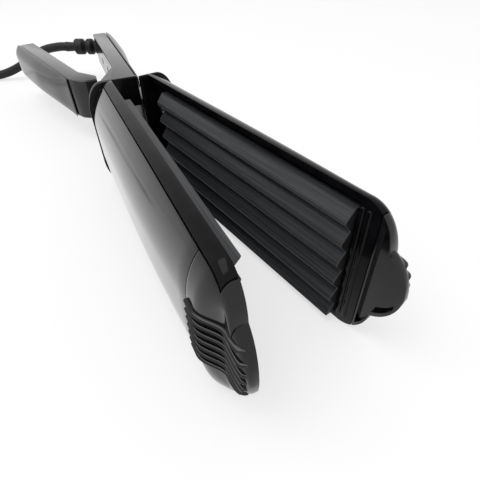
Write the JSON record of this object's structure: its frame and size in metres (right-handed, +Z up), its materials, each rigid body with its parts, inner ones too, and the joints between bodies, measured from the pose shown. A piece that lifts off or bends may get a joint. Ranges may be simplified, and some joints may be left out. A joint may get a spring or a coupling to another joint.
{
  "type": "hair crimper",
  "caption": "Corded hair crimper lying on its side with open scissor arms, ridged heating plates, ribbed cool tips, rocker switch and coiled cord.",
  "frame": {"origin": "middle of the flat lower edge of the cord arm's jaw frame, on the surface it lies on", "axes": "+Y runs from the jaws to the handles along the cord arm, +Z points up along the hinge pin, +X points from the cord arm's jaw to the free arm's jaw"},
  "size_m": [0.2175, 0.3473, 0.0462],
  "materials": {
    "gloss_black": "polished black",
    "plate_coating": "dark grey non-stick coating on brushed metal",
    "white_ceramic": "plain white ceramic",
    "steel": "plain zinc-plated steel",
    "mica": "plain insulating sheet",
    "black_rubber": "matt black",
    "white_nylon": "plain white",
    "amber_lens": "clear amber",
    "brass": "plain"
  },
  "bodies": {
    "cord_arm_body": {"cord_arm_jaw_frame": "gloss_black", "cord_arm_jaw_cover": "gloss_black", "cord_arm_tip": "gloss_black", "cord_arm_handle": "gloss_black", "cord_arm_handle_cover": "gloss_black", "cord_arm_crimp_plate": "plate_coating", "cord_arm_heater": "white_ceramic", "cord_arm_heater_clamp": "steel", "cord_arm_jaw_screw_1": "steel", "cord_arm_jaw_screw_2": "steel", "cord_arm_heater_screw_1": "steel", "cord_arm_heater_screw_2": "steel", "cord_arm_neck_screw_1": "steel", "cord_arm_neck_screw_2": "steel", "cord_arm_handle_screw_1": "steel", "cord_arm_handle_screw_2": "steel", "cord_arm_insulator": "mica", "cord_arm_lead": "black_rubber", "hinge_pin": "steel", "hinge_washer": "steel", "hinge_screw": "steel", "cord_clamp": "steel", "cord_clamp_screw": "steel", "bearing_washer": "white_nylon", "switch_body": "white_nylon", "lamp": "white_nylon", "terminal_block": "white_nylon", "lamp_lens": "amber_lens", "cord_tail": "black_rubber", "strain_relief": "black_rubber", "cord": "black_rubber", "cord_coil": "black_rubber", "plug_body": "black_rubber", "plug_pin_1": "brass", "plug_pin_2": "brass"},
    "free_arm_body": {"free_arm_jaw_frame": "gloss_black", "free_arm_jaw_cover": "gloss_black", "free_arm_tip": "gloss_black", "free_arm_handle": "gloss_black", "free_arm_handle_cover": "gloss_black", "free_arm_crimp_plate": "plate_coating", "free_arm_heater": "white_ceramic", "free_arm_heater_clamp": "steel", "free_arm_jaw_screw_1": "steel", "free_arm_jaw_screw_2": "steel", "free_arm_heater_screw_1": "steel", "free_arm_heater_screw_2": "steel", "free_arm_neck_screw_1": "steel", "free_arm_neck_screw_2": "steel", "free_arm_handle_screw_1": "steel", "free_arm_handle_screw_2": "steel", "free_arm_insulator": "mica", "free_arm_lead": "black_rubber", "return_spring": "steel"},
    "rocker_body": {"switch_rocker": "gloss_black"}
  },
  "joints": [
    {"name": "jaw_pivot", "type": "hinge", "parent": "cord_arm_body", "child": "free_arm_body", "pos_m": [0.00995, 0.11, 0.0231], "axis": [0, 0, 1], "range_deg": [-10.73, 0], "stiffness_Nm_per_rad": 0.12, "springref_deg": 17.19, "deforming": ["return_spring"]},
    {"name": "power_rocker", "type": "hinge", "parent": "cord_arm_body", "child": "rocker_body", "pos_m": [0.02347, 0.1455, 0.0231], "axis": [0, 0, 1], "range_deg": [0, 14]}
  ]
}
